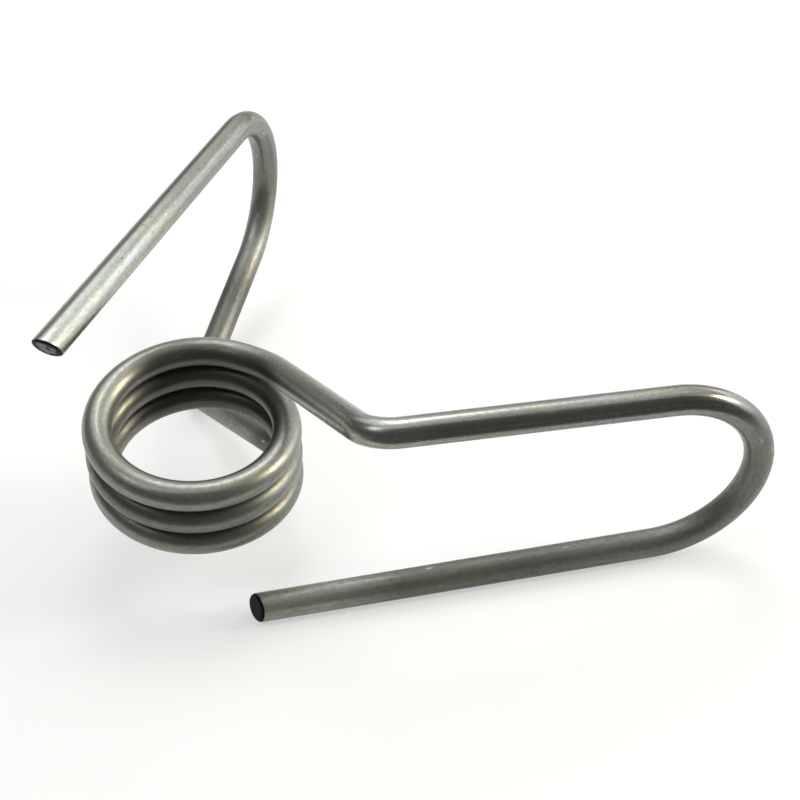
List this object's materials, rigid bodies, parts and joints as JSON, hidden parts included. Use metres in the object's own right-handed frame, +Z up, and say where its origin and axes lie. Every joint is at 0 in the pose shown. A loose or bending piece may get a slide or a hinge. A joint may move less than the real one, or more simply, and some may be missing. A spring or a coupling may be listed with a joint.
{
  "type": "fence rod clip",
  "caption": "Bent spring-wire clip: a close-wound coil grips a fence rod, and splayed legs turn back in long hairpins that hold the fence strand",
  "frame": {"origin": "on the surface that the clip rests on, under the middle of its bounding box", "axes": "+X runs along the upper leg's tail from its tip towards its hairpin, +Y towards the lower leg's hairpin, +Z up from the surface and nearly along the coil's axis"},
  "size_m": [0.042, 0.0368, 0.0203],
  "materials": {
    "spring_wire": "satin drawn wire"
  },
  "bodies": {
    "root": {"rod_clip": "spring_wire"}
  },
  "joints": []
}
